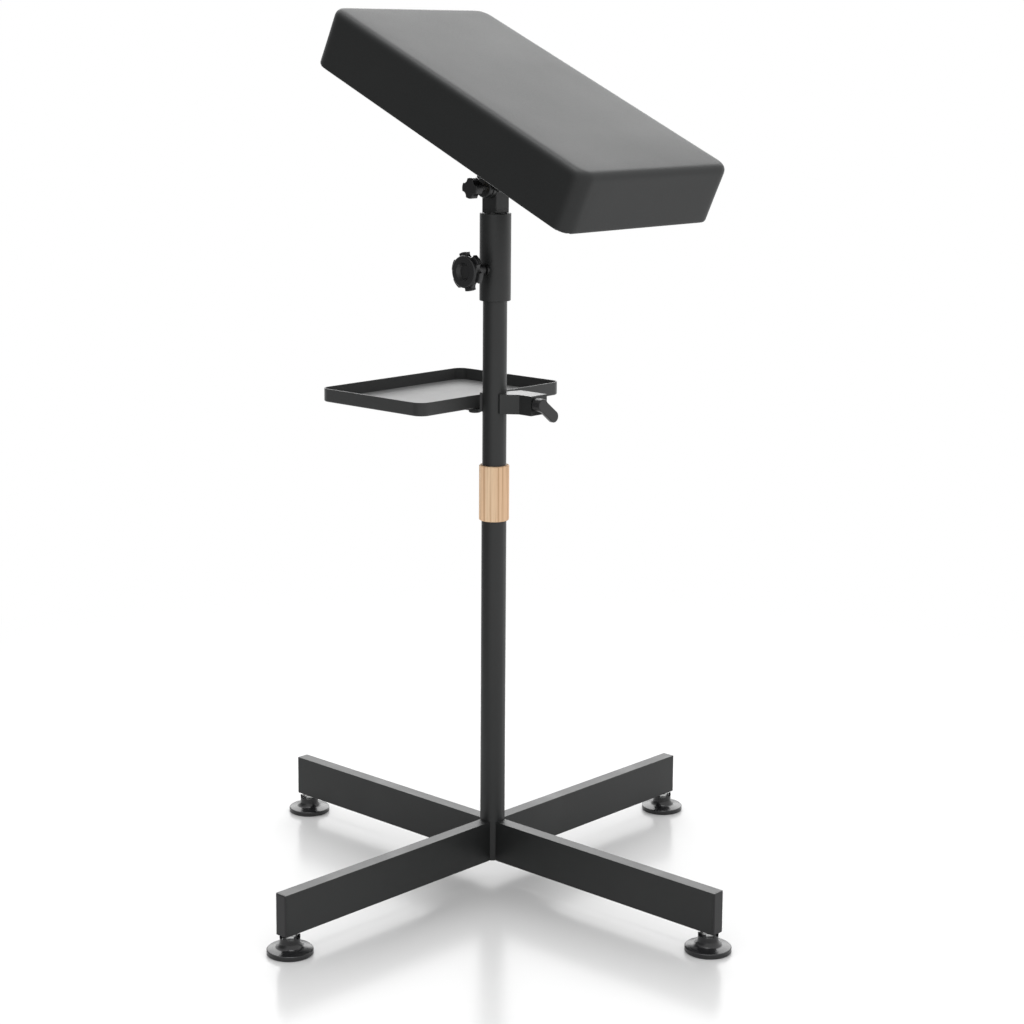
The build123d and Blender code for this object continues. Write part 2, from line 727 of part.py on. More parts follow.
# Pan-head screws up through the plate into the board
with BuildPart() as plate_screws:
    with BuildSketch(rest_plane.offset(web_top)):
        with GridLocations(2 * hole_x, 2 * hole_y, 2, 2):
            Circle(screw_head_radius)
    extrude(amount=-screw_head_height)
    fillet(plate_screws.edges().group_by(Axis(pivot_point, upward))[0], screw_head_height / 2)
    with BuildSketch(rest_plane.offset(web_top)):
        with GridLocations(2 * hole_x, 2 * hole_y, 2, 2):
            Circle(screw_radius)
    extrude(amount=plate_thickness + screw_length)
plate_screws.part.label = "plate_screws"
export_step(plate_screws.part, "parts/plate_screws.step")

# Plywood board inside the foot of the cushion, drilled for the screws
board_bottom = pad_rise + cover_lip
board_length = pad_length - 2 * cover_thickness
board_width = pad_width - 2 * cover_thickness
board_corner = pad_corner - cover_thickness
with BuildPart() as pad_board:
    with BuildSketch(pad_plane.offset(board_bottom)):
        RectangleRounded(board_length, board_width, board_corner)
    extrude(amount=board_thickness)
    with BuildSketch(rest_plane.offset(board_bottom)):
        with GridLocations(2 * hole_x, 2 * hole_y, 2, 2):
            Circle(screw_radius + thread_play)
    extrude(amount=screw_length, mode=Mode.SUBTRACT)
pad_board.part.label = "pad_board"
export_step(pad_board.part, "parts/pad_board.step")

# Thin dust cover over the board's underside, inside the folded lip
lip_length = pad_length - 2 * cover_lip_width
lip_width = pad_width - 2 * cover_lip_width
with BuildPart() as dust_cover:
    with BuildSketch(pad_plane.offset(pad_rise)):
        Rectangle(lip_length - 2 * dust_cover_inset, lip_width - 2 * dust_cover_inset)
    extrude(amount=cover_lip)
    with BuildSketch(rest_plane.offset(pad_rise)):
        with GridLocations(2 * hole_x, 2 * hole_y, 2, 2):
            Circle(screw_radius + screw_play)
    extrude(amount=cover_lip, mode=Mode.SUBTRACT)
dust_cover.part.label = "dust_cover"
export_step(dust_cover.part, "parts/dust_cover.step")

# Cushion: a shallow dome on top, its four sides drawn in a little, hollow for the board
half_length = pad_length / 2
half_width = pad_width / 2
pad_top = pad_rise + pad_thickness
crown_radius = (half_length ** 2 + half_width ** 2) / (2 * pad_crown)
crown_centre = pad_top + pad_crown / 2 - crown_radius
corners = [(-half_length, -half_width), (half_length, -half_width),
           (half_length, half_width), (-half_length, half_width)]
side_middles = [(0, side_draw - half_width), (half_length - side_draw, 0),
                (0, half_width - side_draw), (side_draw - half_length, 0)]
with BuildPart() as cushion:
    with BuildSketch(pad_plane.offset(pad_rise)):
        with BuildLine():
            for start, middle, end in zip(corners, side_middles, corners[1:] + corners[:1]):
                ThreePointArc(start, middle, end)
        make_face()
    extrude(amount=pad_thickness + pad_crown)
    fillet(cushion.edges().filter_by(Axis(pad_centre, upward)), pad_corner)
    with Locations(pad_plane.offset(crown_centre)):
        Sphere(crown_radius, mode=Mode.INTERSECT)
    fillet(cushion.faces().sort_by(Axis(pad_centre, upward))[-1].edges(), pad_top_edge)
    fillet(cushion.faces().sort_by(Axis(pad_centre, upward))[0].edges(), pad_bottom_edge)
    with BuildSketch(pad_plane.offset(board_bottom)):
        RectangleRounded(board_length + 2 * board_play, board_width + 2 * board_play,
                         board_corner + board_play)
    extrude(amount=board_thickness + board_play, mode=Mode.SUBTRACT)
    with BuildSketch(pad_plane.offset(pad_rise)):
        Rectangle(lip_length, lip_width)
    extrude(amount=cover_lip, mode=Mode.SUBTRACT)
cushion.part.label = "cushion"
export_step(cushion.part, "parts/cushion.step")

# Instrument tray: folded sheet with rounded corners, holes for its two rivets
tray_length = tray_back - tray_front
tray_width = tray_right - tray_left
tray_centre = ((tray_left + tray_right) / 2, (tray_front + tray_back) / 2, tray_bottom)
rivet_places = [(-rivet_first - step * rivet_pitch, rivet_y) for step in range(2)]
with BuildPart() as tray:
    with BuildSketch(Plane(tray_centre)):
        RectangleRounded(tray_width, tray_length, tray_corner)
    extrude(amount=tray_height)
    fillet(tray.faces().sort_by(Axis.Z)[0].edges(), tray_floor_edge)
    offset(amount=-tray_wall, openings=tray.faces().sort_by(Axis.Z)[-1])
    with BuildSketch(Plane.XY.offset(tray_bottom)):
        with Locations(*rivet_places):
            Circle(rivet_radius + thread_play)
    extrude(amount=tray_wall, mode=Mode.SUBTRACT)
tray.part.label = "tray"
export_step(tray.part, "parts/tray.step")

# Mouth of the clamp: the wedge towards the front where ring and liner are open
mouth_reach = 2 * upper_post_radius
mouth_corners = [(mouth_reach * cos(radians(angle)), mouth_reach * sin(radians(angle)))
                 for angle in (mouth_start, (mouth_start + mouth_end) / 2, mouth_end)]
with BuildSketch() as mouth:
    Polygon((0, 0), *mouth_corners, align=None)

# Liner: plastic open ring that slides on the post inside the clamp
liner_inner = upper_post_radius + liner_play
liner_outer = liner_inner + liner_thickness
liner_bottom = clamp_bottom + liner_trim
liner_height = clamp_height - 2 * liner_trim
with BuildPart() as clamp_liner:
    with BuildSketch(Plane.XY.offset(liner_bottom)):
        Circle(liner_outer)
        Circle(liner_inner, mode=Mode.SUBTRACT)
    extrude(amount=liner_height)
    with BuildSketch(Plane.XY.offset(liner_bottom)):
        add(mouth.sketch)
    extrude(amount=liner_height, mode=Mode.SUBTRACT)
clamp_liner.part.label = "clamp_liner"
export_step(clamp_liner.part, "parts/clamp_liner.step")

# Clamp body: open ring, screw lug on its right and tongue under the tray
clamp_bore = liner_outer + liner_play
ring_outer = clamp_bore + ring_wall
mouth_edge = (ring_outer * cos(radians(mouth_end)), ring_outer * sin(radians(mouth_end)))
lever_plane = Plane(origin=(lug_right, lever_y, lever_z), x_dir=(0, 1, 0), z_dir=(1, 0, 0))
with BuildPart() as clamp_body:
    with BuildSketch(Plane.XY.offset(clamp_bottom)):
        Circle(ring_outer)
        Polygon((lug_left, lug_back), (0, 0), mouth_edge, (lug_facet, lug_front),
                (lug_right, lug_front), (lug_right, lug_back), align=None)
    extrude(amount=clamp_height)
    with BuildSketch(Plane((-tongue_reach, 0, clamp_bottom))):
        Rectangle(tongue_reach, 2 * tongue_half_width, align=(Align.MIN, Align.CENTER))
    extrude(amount=tongue_thickness)
    with BuildSketch(Plane.XY.offset(clamp_bottom)):
        Circle(clamp_bore)
        add(mouth.sketch)
        with Locations(*rivet_places):
            Circle(rivet_radius + thread_play)
    extrude(amount=clamp_height, mode=Mode.SUBTRACT)
    with BuildSketch(lever_plane):
        Circle(lever_screw_radius + thread_play)
    extrude(amount=-(lug_right - shoe_end), mode=Mode.SUBTRACT)
    with BuildSketch(lever_plane.offset(shoe_end - lug_right)):
        Circle(shoe_radius + thread_play)
    extrude(amount=-(shoe_end - shoe_start + shoe_gap), mode=Mode.SUBTRACT)
clamp_body.part.label = "clamp_body"
export_step(clamp_body.part, "parts/clamp_body.step")

# Clamp shoe: plug in the lug's bore, hollowed to bear on the liner and the post
with BuildPart() as clamp_shoe:
    with BuildSketch(lever_plane.offset(shoe_start - lug_right)):
        Circle(shoe_radius)
    extrude(amount=shoe_end - shoe_start)
    with BuildSketch(Plane.XY.offset(clamp_bottom)):
        Circle(liner_outer + shoe_gap)
    extrude(amount=clamp_height, mode=Mode.SUBTRACT)
clamp_shoe.part.label = "clamp_shoe"
export_step(clamp_shoe.part, "parts/clamp_shoe.step")

# Rivets that hold the tray on the tongue, flush with the tray's floor
with BuildPart() as tray_rivets:
    with BuildSketch(Plane.XY.offset(clamp_bottom)):
        with Locations(*rivet_places):
            Circle(rivet_head_radius)
    extrude(amount=-rivet_head_height)
    fillet(tray_rivets.edges().group_by(Axis.Z)[0], rivet_head_edge)
    with BuildSketch(Plane.XY.offset(clamp_bottom)):
        with Locations(*rivet_places):
            Circle(rivet_radius)
    extrude(amount=tray_bottom + tray_wall - clamp_bottom)
tray_rivets.part.label = "tray_rivets"
export_step(tray_rivets.part, "parts/tray_rivets.step")

# Lever screw: its end pushes the shoe, its lever stands off the lug
with BuildPart() as lever_screw:
    with BuildSketch(lever_plane.offset(shoe_end + shoe_screw_gap - lug_right)):
        Circle(lever_screw_radius)
    extrude(amount=lug_right - shoe_end - shoe_screw_gap + lever_gap + lever_screw_grip)
    chamfer(lever_screw.edges().group_by(Axis.X)[0], lever_screw_cone)
lever_screw.part.label = "lever_screw"
export_step(lever_screw.part, "parts/lever_screw.step")

blade_angle = radians(lever_blade_drop)
blade_plane = Plane(origin=(lug_right + lever_gap, lever_y, lever_z),
                    x_dir=(0, cos(blade_angle), -sin(blade_angle)), z_dir=(1, 0, 0))
with BuildPart() as clamp_lever:
    with BuildSketch(blade_plane.offset(lever_hub_length - lever_blade_thickness)):
        Rectangle(lever_blade_reach - lever_blade_width / 2, lever_blade_width,
                  align=(Align.MIN, Align.CENTER))
        with Locations((lever_blade_reach - lever_blade_width / 2, 0)):
            Circle(lever_blade_width / 2)
    extrude(amount=lever_blade_thickness)
    with BuildSketch(blade_plane):
        Circle(lever_hub_radius)
    extrude(amount=lever_hub_length)
    fillet(clamp_lever.faces().sort_by(Axis.X)[-1].edges(), lever_edge)
    with BuildSketch(blade_plane):
        Circle(lever_screw_radius + thread_play)
    extrude(amount=lever_screw_grip, mode=Mode.SUBTRACT)
clamp_lever.part.label = "clamp_lever"
export_step(clamp_lever.part, "parts/clamp_lever.step")
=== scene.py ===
import bmesh
import bpy
import json
from math import cos, pi, radians
from mathutils import Matrix, Vector, noise


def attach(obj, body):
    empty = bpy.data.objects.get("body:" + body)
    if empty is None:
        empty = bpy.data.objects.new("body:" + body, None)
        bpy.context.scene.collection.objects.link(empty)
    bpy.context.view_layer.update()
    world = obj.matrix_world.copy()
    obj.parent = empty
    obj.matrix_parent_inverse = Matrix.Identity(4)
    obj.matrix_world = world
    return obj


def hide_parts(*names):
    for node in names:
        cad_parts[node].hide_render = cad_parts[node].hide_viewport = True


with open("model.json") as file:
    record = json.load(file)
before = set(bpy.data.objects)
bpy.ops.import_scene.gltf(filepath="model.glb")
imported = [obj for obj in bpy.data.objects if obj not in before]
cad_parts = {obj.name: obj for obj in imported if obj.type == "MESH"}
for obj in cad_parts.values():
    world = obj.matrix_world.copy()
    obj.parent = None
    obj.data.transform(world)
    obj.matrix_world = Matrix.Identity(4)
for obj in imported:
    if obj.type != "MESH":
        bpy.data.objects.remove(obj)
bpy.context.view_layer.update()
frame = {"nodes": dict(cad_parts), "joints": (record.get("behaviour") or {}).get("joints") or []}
millimetre = 0.001


# Base post and cross
# A round steel tube stands in the middle of four rectangular ones, welded into a cross and sprayed
# with black powder that bakes to a satin skin. The arms' long corners are rounded, as drawn tube is.
class Wire:
    """One value of a shader, so that sums between such values read as plain sums."""

    def __init__(self, graph, socket):
        self.graph = graph
        self.socket = socket

    def __add__(self, other):
        return self.graph.math("ADD", self, other)

    def __sub__(self, other):
        return self.graph.math("SUBTRACT", self, other)

    def __rsub__(self, other):
        return self.graph.math("SUBTRACT", other, self)

    def __mul__(self, other):
        return self.graph.math("MULTIPLY", self, other)

    __radd__ = __add__
    __rmul__ = __mul__


class Graph:
    """The nodes of a material or of the world."""

    def __init__(self, tree):
        self.tree = tree

    def node(self, kind, settings, sockets, output=0):
        """Adds a node: its settings first, then the values or wires of its sockets."""
        made = self.tree.nodes.new(kind)
        for name, value in settings.items():
            setattr(made, name, value)
        self.feed(made, sockets)
        return Wire(self, made.outputs[output] if made.outputs else None)

    def feed(self, made, sockets):
        for name, value in sockets.items():
            if isinstance(value, Wire):
                self.tree.links.new(value.socket, made.inputs[name])
            else:
                made.inputs[name].default_value = value

    def math(self, operation, first, second):
        return self.node("ShaderNodeMath", {"operation": operation}, {0: first, 1: second})

    def step(self, value, start, end):
        """0 at start, 1 at end and smooth between."""
        return self.node("ShaderNodeMapRange", {"interpolation_type": "SMOOTHSTEP"},
                         {"Value": value, "From Min": start, "From Max": end})

    def between(self, share, first, second):
        """The colour that lies share of the way from first to second."""
        return self.node("ShaderNodeMix", {"data_type": "RGBA"}, {0: share, 6: first, 7: second}, 2)


class Finish(Graph):
    """A surface finish: constants sit on the shader's sockets, and what varies is wired to them."""

    def __init__(self, name, constants):
        self.material = bpy.data.materials.new(name)
        self.material.use_nodes = True
        super().__init__(self.material.node_tree)
        self.shader = self.tree.nodes["Principled BSDF"]
        self.paint(constants)
        self.place = self.node("ShaderNodeTexCoord", {}, {}, "Object")

    def paint(self, sockets):
        self.feed(self.shader, sockets)

    def stretched(self, scale):
        """Object coordinates scaled on each axis, for grain and brushing."""
        return self.node("ShaderNodeMapping", {}, {"Vector": self.place, "Scale": scale})

    def speckle(self, scale, detail=2.0, place=None):
        """Soft noise from 0 to 1, its scale in spots to the metre."""
        return self.node("ShaderNodeTexNoise", {},
                         {"Vector": place or self.place, "Scale": scale, "Detail": detail})

    def relief(self, height, depth):
        """A bump whose full height is depth metres."""
        return self.node("ShaderNodeBump", {}, {"Height": height, "Distance": depth})


def powder_coat(name, roughness, sheen):
    finish = Finish(name, {"Specular IOR Level": 0.48, "Sheen Weight": sheen, "Sheen Roughness": 0.45})
    peel = finish.speckle(380.0)
    grit = finish.speckle(2600.0)
    rubbed = finish.step(finish.speckle(16.0, 4.0), 0.46, 0.72)
    finish.paint({
        "Base Color": finish.between(finish.speckle(7.0), (0.008, 0.009, 0.009, 1), (0.013, 0.014, 0.014, 1)),
        "Roughness": roughness - 0.06 * rubbed + 0.05 * peel,
        "Normal": finish.relief(0.7 * peel + 0.3 * grit, 0.00006),
    })
    return finish.material


black_steel = powder_coat("satin_black_powder_coat", 0.43, 0.0)


def pick(piece=None):
    """Selects one piece alone, or nothing at all."""
    bpy.ops.object.select_all(action="DESELECT")
    bpy.context.view_layer.objects.active = piece
    if piece:
        piece.select_set(True)


def carried(node, finish):
    """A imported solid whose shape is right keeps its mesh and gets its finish."""
    solid = frame["nodes"][node]
    solid.data.materials.clear()
    solid.data.materials.append(finish)


def applied(piece, kind, **settings):
    """Adds a modifier with these settings and applies it."""
    pick(piece)
    modifier = piece.modifiers.new(kind.lower(), kind)
    for name, value in settings.items():
        setattr(modifier, name, value)
    bpy.ops.object.modifier_apply(modifier=modifier.name)


def fitted(piece, body, slot, finish, *nodes):
    """Gives a finished piece its body and its finish, and hides the solids it stands for."""
    piece.data.materials.clear()
    piece.data.materials.append(finish)
    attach(piece, body)
    if nodes:
        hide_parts(*nodes)


def eased(node, name, edge, body, slot, finish, corner=radians(25)):
    """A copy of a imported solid, its triangles merged to faces and its corners rounded off."""
    piece = bpy.data.objects.new(name, frame["nodes"][node].data.copy())
    bpy.context.scene.collection.objects.link(piece)
    pick(piece)
    bpy.ops.mesh.customdata_custom_splitnormals_clear()
    bpy.ops.object.mode_set(mode="EDIT")
    bpy.ops.mesh.select_all(action="SELECT")
    bpy.ops.mesh.remove_doubles(threshold=0.00001)
    bpy.ops.mesh.dissolve_limited(angle_limit=radians(1))
    bpy.ops.object.mode_set(mode="OBJECT")
    applied(piece, "BEVEL", width=edge, segments=3, limit_method="ANGLE", angle_limit=corner)
    bpy.ops.object.shade_smooth_by_angle(angle=corner)
    applied(piece, "WEIGHTED_NORMAL", keep_sharp=True)
    fitted(piece, body, slot, finish, node)


places = ["front_right", "rear_right", "rear_left", "front_left"]
for place in places:
    eased("base_arm_" + place, "arm_" + place, 1.1 * millimetre, "stand", "black_steel", black_steel)
carried("base_post", black_steel)


# End caps and plug
# Injection-moulded black plastic, pushed into the open ends of the tubes and flush with them.
# The mould leaves a fine even grain, a little glossier than the powder coat.
def moulded_plastic():
    finish = Finish("black_moulded_plastic", {"Specular IOR Level": 0.46})
    grain = finish.speckle(3400.0)
    flow = finish.speckle(24.0, 3.0)
    finish.paint({
        "Base Color": finish.between(flow, (0.008, 0.008, 0.009, 1), (0.013, 0.013, 0.014, 1)),
        "Roughness": 0.28 + 0.08 * flow + 0.05 * grain,
        "Normal": finish.relief(grain, 0.00003),
    })
    return finish.material


black_plastic = moulded_plastic()
eased("arm_end_caps", "end_caps", 0.3 * millimetre, "stand", "black_plastic", black_plastic)
carried("post_plug", black_plastic)


# Levelling feet
# Glossy black nylon bells moulded on to zinc-plated studs that screw into inserts in the arms.
# The lock nut lies in a notched collar at the top, where a hand or a spanner turns the foot.
def smooth_nylon():
    finish = Finish("smooth_black_nylon", {"Specular IOR Level": 0.5})
    haze = finish.speckle(40.0, 4.0)
    finish.paint({
        "Base Color": finish.between(haze, (0.009, 0.009, 0.010, 1), (0.015, 0.015, 0.016, 1)),
        "Roughness": 0.2 + 0.1 * haze,
        "Normal": finish.relief(finish.speckle(900.0), 0.00002),
    })
    return finish.material


def zinc_plate():
    finish = Finish("bright_zinc_plate", {"Metallic": 1.0})
    cloud = finish.speckle(160.0, 3.0)
    finish.paint({
        "Base Color": finish.between(cloud, (0.62, 0.62, 0.6, 1), (0.78, 0.79, 0.8, 1)),
        "Roughness": 0.2 + 0.16 * cloud,
        "Normal": finish.relief(finish.speckle(2200.0), 0.00002),
    })
    return finish.material


foot_nylon = smooth_nylon()
bright_zinc = zinc_plate()
for place in places:
    eased("foot_pad_" + place, "foot_" + place, 0.35 * millimetre, "foot_" + place,
          "foot_plastic", foot_nylon, radians(40))
    eased("foot_lock_nut_" + place, "lock_nut_" + place, 0.3 * millimetre, "foot_" + place,
          "zinc_plated_steel", bright_zinc, radians(40))
    carried("foot_stud_" + place, bright_zinc)
carried("foot_inserts", bright_zinc)


# Spigot, wooden sleeve and upper post
# A drawn steel spigot lines the two posts up, and a turned sleeve of pale wood hides the joint.
# The sleeve is sanded and bare, its grain running up the post.
def drawn_steel():
    finish = Finish("drawn_steel", {"Metallic": 1.0})
    streaks = finish.speckle(1.0, 3.0, finish.stretched((900, 900, 14)))
    finish.paint({
        "Base Color": finish.between(streaks, (0.36, 0.36, 0.37, 1), (0.5, 0.5, 0.51, 1)),
        "Roughness": 0.28 + 0.16 * streaks,
        "Normal": finish.relief(streaks, 0.00002),
    })
    return finish.material


def pale_wood():
    finish = Finish("bare_pale_wood", {"Specular IOR Level": 0.3})
    boards = finish.speckle(1.0, 1.0, finish.stretched((90, 90, 2)))
    lines = finish.speckle(1.0, 1.0, finish.stretched((520, 520, 3)))
    pores = finish.speckle(1.0, 4.0, finish.stretched((1500, 1500, 26)))
    pale = finish.between(finish.step(boards, 0.3, 0.7), (0.86, 0.56, 0.34, 1), (0.88, 0.64, 0.42, 1))
    lined = finish.between(finish.step(lines, 0.3, 0.52), (0.62, 0.38, 0.22, 1), pale)
    finish.paint({
        "Base Color": finish.between(0.35 * finish.step(pores, 0.52, 0.72), lined, (0.5, 0.3, 0.15, 1)),
        "Roughness": 0.5 + 0.14 * pores,
        "Normal": finish.relief(0.7 * lines + 0.3 * pores, 0.0002),
    })
    return finish.material


bare_steel = drawn_steel()
carried("joint_spigot", bare_steel)
eased("wood_sleeve", "sleeve", 0.6 * millimetre, "stand", "bare_wood", pale_wood())
carried("upper_post", black_steel)


# Collar, bush and height knob
# A thick steel collar is welded on the post's end, with a nylon bush in its mouth and a threaded
# nut in its side. The star knob is moulded on its stud, which presses on the riser.
def black_oxide():
    finish = Finish("blackened_steel", {"Metallic": 1.0})
    cloud = finish.speckle(220.0, 3.0)
    finish.paint({
        "Base Color": finish.between(cloud, (0.05, 0.05, 0.052, 1), (0.1, 0.1, 0.1, 1)),
        "Roughness": 0.36 + 0.16 * cloud,
        "Normal": finish.relief(finish.speckle(2200.0), 0.00002),
    })
    return finish.material


dark_steel = black_oxide()
carried("height_collar", black_steel)
carried("guide_bush", black_plastic)
carried("collar_nut", dark_steel)
carried("height_knob_stud", dark_steel)
eased("height_knob", "height_star_knob", 0.4 * millimetre, "height_knob", "black_plastic", black_plastic,
      radians(35))


# Riser and square stub
# The riser is drawn steel tube with a plastic ring and plug at its foot. A length of square tube
# is welded on its head and powder coated, with a cap in its top and a spacer for the pivot across it.
carried("riser_tube", bare_steel)
for node in ("riser_glide_ring", "riser_plug"):
    carried(node, black_plastic)
eased("stub_foot_plate", "stub_base", 0.15 * millimetre, "head", "black_steel", black_steel)
eased("square_stub", "stub", 0.3 * millimetre, "head", "black_steel", black_steel)
eased("stub_cap", "stub_end_cap", 0.3 * millimetre, "head", "black_plastic", black_plastic)
carried("pivot_sleeve", bare_steel)


# Tilt bracket, pivot and tilt knob
# The bracket is a folded steel strip whose two legs straddle the stub, held by one zinc-plated
# bolt. The small star knob is moulded round a brass insert and pulls a round boss on to the leg.
def turned_brass():
    finish = Finish("turned_brass", {"Metallic": 1.0})
    tarnish = finish.speckle(90.0, 4.0)
    finish.paint({
        "Base Color": finish.between(tarnish, (0.55, 0.38, 0.15, 1), (0.8, 0.6, 0.3, 1)),
        "Roughness": 0.24 + 0.2 * tarnish,
        "Normal": finish.relief(finish.speckle(2400.0), 0.00002),
    })
    return finish.material


brass = turned_brass()
eased("tilt_bracket", "bracket", 0.4 * millimetre, "armrest", "black_steel", black_steel)
carried("pivot_boss", black_steel)
carried("pivot_bolt", bright_zinc)
carried("tilt_knob_insert", brass)
eased("tilt_knob", "tilt_star_knob", 0.5 * millimetre, "tilt_knob", "black_plastic", black_plastic,
      radians(35))


# Mounting plate, screws and board
# A powder-coated steel plate on the bracket, screwed up into a birch plywood board, which is the
# floor of the cushion.
def plywood_sheet():
    finish = Finish("sanded_plywood", {"Specular IOR Level": 0.3})
    grain = finish.speckle(1.0, 4.0, finish.stretched((12, 700, 700)))
    finish.paint({
        "Base Color": finish.between(grain, (0.42, 0.27, 0.14, 1), (0.62, 0.45, 0.27, 1)),
        "Roughness": 0.6 + 0.12 * grain,
        "Normal": finish.relief(grain, 0.00008),
    })
    return finish.material


eased("mounting_plate", "pad_plate", 0.4 * millimetre, "armrest", "black_steel", black_steel)
carried("plate_screws", bright_zinc)
carried("pad_board", plywood_sheet())


# Cushion
# A block of firm foam under smooth black leatherette, pulled down over the board and stapled
# beneath it. The top is a little crowned, and the sides are drawn in slightly between the corners.
def leatherette():
    finish = Finish("black_leatherette", {"Specular IOR Level": 0.42})
    cells = finish.node("ShaderNodeTexVoronoi", {"feature": "SMOOTH_F1"},
                        {"Vector": finish.place, "Scale": 900.0, "Smoothness": 0.6})
    wear = finish.speckle(11.0, 3.0)
    finish.paint({
        "Base Color": finish.between(wear, (0.008, 0.009, 0.009, 1), (0.012, 0.013, 0.013, 1)),
        "Roughness": 0.44 + 0.08 * wear + 0.06 * cells,
        "Normal": finish.relief(cells, 0.00005),
    })
    return finish.material


tilt = radians(24.86)
pad_length = 377.4 * millimetre
pad_width = 226.8 * millimetre
pad_thickness = 62.8 * millimetre
pad_rise = 51.5 * millimetre
pad_shift = -1.7 * millimetre
pad_corner = 17 * millimetre
cover_thickness = 0.9 * millimetre
pivot = next(Vector(joint["pos_m"]) for joint in frame["joints"] if joint["name"] == "armrest_tilt")
tilted = Matrix.Translation(pivot) @ Matrix.Rotation(tilt, 4, "Y")


def box_piece(name, low, high):
    """A box between two corners, its size and place applied."""
    pick()
    middle = (Vector(low) + Vector(high)) / 2
    bpy.ops.mesh.primitive_cube_add(size=1, location=middle)
    piece = bpy.context.object
    piece.name = name
    piece.scale = Vector(high) - Vector(low)
    bpy.ops.object.transform_apply(location=True, rotation=True, scale=True)
    return piece


def round_edges(piece, wanted, offset, segments):
    """Rounds the edges that are chosen by the places of their two ends."""
    pick(piece)
    bpy.ops.object.mode_set(mode="EDIT")
    bpy.ops.mesh.select_mode(type="EDGE")
    bpy.ops.mesh.select_all(action="DESELECT")
    mesh = bmesh.from_edit_mesh(piece.data)
    for edge in mesh.edges:
        edge.select_set(wanted(*(corner.co for corner in edge.verts)))
    bmesh.update_edit_mesh(piece.data)
    bpy.ops.mesh.bevel(offset=offset, segments=segments)
    bpy.ops.object.mode_set(mode="OBJECT")


def inflate(pad, floor, most_move):
    """Swells the cover by air pressure, each point by no more than most_move."""
    start = [corner.co.copy() for corner in pad.data.vertices]
    held = pad.vertex_groups.new(name="held")
    held.add([corner.index for corner in pad.data.vertices if corner.co.z < floor], 1.0, "ADD")
    cloth = pad.modifiers.new("cloth", "CLOTH")
    cloth.settings.use_pressure = True
    cloth.settings.uniform_pressure_force = 4.0
    cloth.settings.effector_weights.gravity = 0.0
    cloth.settings.vertex_group_mass = "held"
    cloth.point_cache.frame_end = 20
    for step in range(1, 21):
        bpy.context.scene.frame_set(step)
    pick(pad)
    bpy.ops.object.modifier_apply(modifier="cloth")
    bpy.context.scene.frame_set(1)
    for corner, origin in zip(pad.data.vertices, start):
        move = corner.co - origin
        if move.length > most_move:
            corner.co = origin + move * (most_move / move.length)


def make_cushion():
    top_edge = 8 * millimetre
    bottom_edge = 3.2 * millimetre
    crown = 1 * millimetre
    side_draw = 1 * millimetre
    voxel = 3.6 * millimetre
    swelling = 1 * millimetre
    least_hold = 0.85
    half = Vector((pad_length / 2 + cover_thickness, pad_width / 2 + cover_thickness, 0))
    middle = Vector((pad_shift, 0, 0))
    low = middle - half + Vector((0, 0, pad_rise - cover_thickness))
    high = middle + half + Vector((0, 0, pad_rise + pad_thickness))
    pad = box_piece("pad", low, high)
    near = 0.5 * millimetre
    round_edges(pad, lambda a, b: abs(a.z - b.z) > near, pad_corner, 8)
    round_edges(pad, lambda a, b: min(a.z, b.z) > high.z - near, top_edge, 6)
    round_edges(pad, lambda a, b: max(a.z, b.z) < low.z + near, bottom_edge, 4)
    form = pad.copy()
    form.data = pad.data.copy()
    bpy.context.scene.collection.objects.link(form)
    applied(pad, "REMESH", mode="VOXEL", voxel_size=voxel)
    inflate(pad, low.z + voxel, swelling)
    applied(pad, "SMOOTH", factor=0.5, iterations=4)
    applied(pad, "SUBSURF", levels=1, render_levels=1)
    firm = pad.vertex_groups.new(name="firm")
    for corner in pad.data.vertices:
        rise = (corner.co.z - low.z) / pad_thickness
        firm.add([corner.index], max(least_hold, 1.0 - rise), "REPLACE")
    applied(pad, "SHRINKWRAP", target=form, wrap_method="NEAREST_SURFACEPOINT", vertex_group="firm")
    bpy.data.objects.remove(form)
    for corner in pad.data.vertices:
        along = (corner.co.x - pad_shift) / half.x
        across = corner.co.y / half.y
        rise = (corner.co.z - low.z) / (high.z - low.z)
        fullness = 4 * rise * (1 - rise)
        corner.co.x -= side_draw * along * (1 - across ** 2) * fullness
        corner.co.y -= side_draw * across * (1 - along ** 2) * fullness
        corner.co.z += crown * max(0, 1 - along ** 2) * max(0, 1 - across ** 2) * rise
    return pad


def gather_corners(pad):
    """Folds the cover's hem into small pleats under each rounded corner."""
    pleats = 4
    depth = 0.6 * millimetre
    reach = 15 * millimetre
    for corner in pad.data.vertices:
        spot = corner.co
        along = abs(spot.x - pad_shift) - (pad_length / 2 - pad_corner)
        across = abs(spot.y) - (pad_width / 2 - pad_corner)
        if spot.z > pad_rise - cover_thickness + depth or min(along, across) < -reach:
            continue
        arm = Vector((along + reach, across + reach, 0))
        turn = Vector((1, 0, 0)).angle(arm) if arm.length > 0 else 0
        fade = max(0, 1 - abs(arm.length - reach) / reach)
        spot.z -= depth * fade * (0.5 + 0.5 * cos(4 * pleats * turn))


